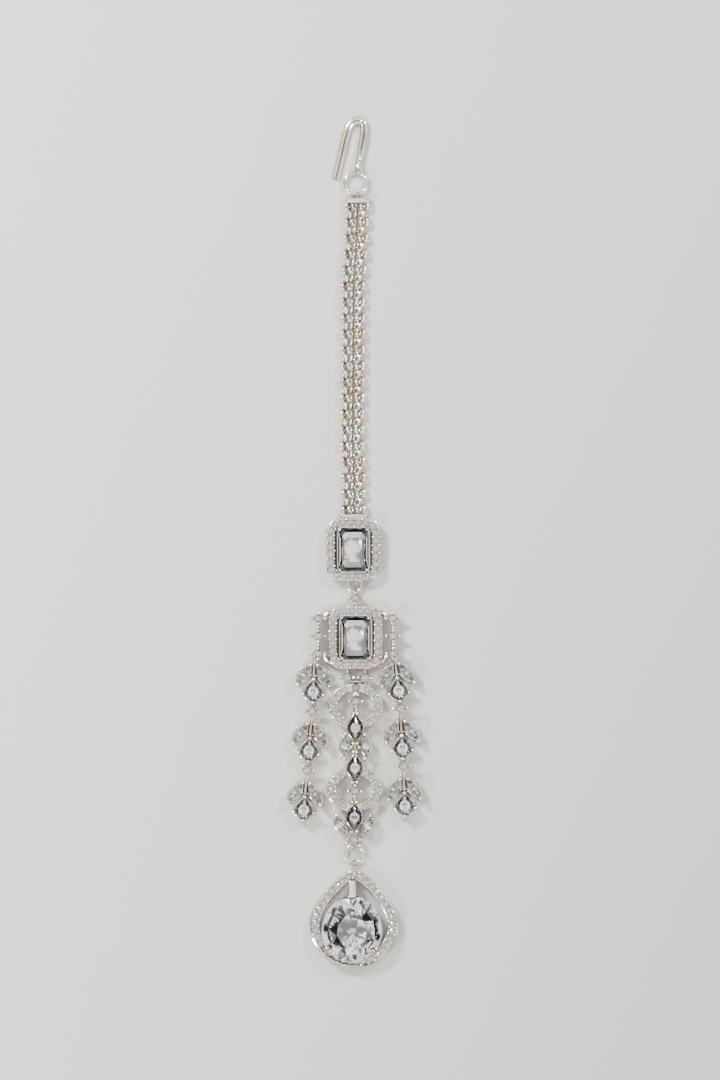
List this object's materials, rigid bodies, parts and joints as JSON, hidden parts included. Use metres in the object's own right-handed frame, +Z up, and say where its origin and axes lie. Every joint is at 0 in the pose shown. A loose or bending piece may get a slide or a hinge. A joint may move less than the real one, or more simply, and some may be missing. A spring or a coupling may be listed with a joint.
{
  "type": "maang tikka",
  "caption": "Forehead ornament with a crook hook, woven chain, framed stone plaques, oval hoops, flower side strands and a pear drop, lying on its back.",
  "frame": {"origin": "below the middle of the ornament's bounding box, on the surface it lies on", "axes": "+Y along the ornament towards its hook, +X across it to the right as seen from above, +Z up out of the stones"},
  "size_m": [0.026, 0.1618, 0.005],
  "materials": {
    "plated_metal": "polished",
    "clear_stone": "polished"
  },
  "bodies": {
    "root": {"hook": "plated_metal", "chain_end_bar": "plated_metal", "chain": "plated_metal", "upper_plaque": "plated_metal", "plaque_ring": "plated_metal", "main_plaque": "plated_metal", "centre_frame": "plated_metal", "drop_ring": "plated_metal", "drop_frame": "plated_metal", "flower_left_1": "plated_metal", "flower_left_2": "plated_metal", "flower_left_3": "plated_metal", "flower_right_1": "plated_metal", "flower_right_2": "plated_metal", "flower_right_3": "plated_metal", "strand_ring_left_1": "plated_metal", "strand_ring_left_2": "plated_metal", "strand_ring_right_1": "plated_metal", "strand_ring_right_2": "plated_metal", "upper_stone": "clear_stone", "main_stone": "clear_stone", "drop_stone": "clear_stone", "flower_left_1_leaf_left": "clear_stone", "flower_left_1_leaf_right": "clear_stone", "flower_left_1_pear": "clear_stone", "flower_left_2_leaf_left": "clear_stone", "flower_left_2_leaf_right": "clear_stone", "flower_left_2_pear": "clear_stone", "flower_left_3_leaf_left": "clear_stone", "flower_left_3_leaf_right": "clear_stone", "flower_left_3_pear": "clear_stone", "flower_right_1_leaf_left": "clear_stone", "flower_right_1_leaf_right": "clear_stone", "flower_right_1_pear": "clear_stone", "flower_right_2_leaf_left": "clear_stone", "flower_right_2_leaf_right": "clear_stone", "flower_right_2_pear": "clear_stone", "flower_right_3_leaf_left": "clear_stone", "flower_right_3_leaf_right": "clear_stone", "flower_right_3_pear": "clear_stone", "centre_marquise_1": "clear_stone", "centre_marquise_2": "clear_stone", "centre_marquise_3": "clear_stone", "centre_leaf_upper_left": "clear_stone", "centre_leaf_upper_right": "clear_stone", "centre_leaf_lower_left": "clear_stone", "centre_leaf_lower_right": "clear_stone"}
  },
  "joints": []
}
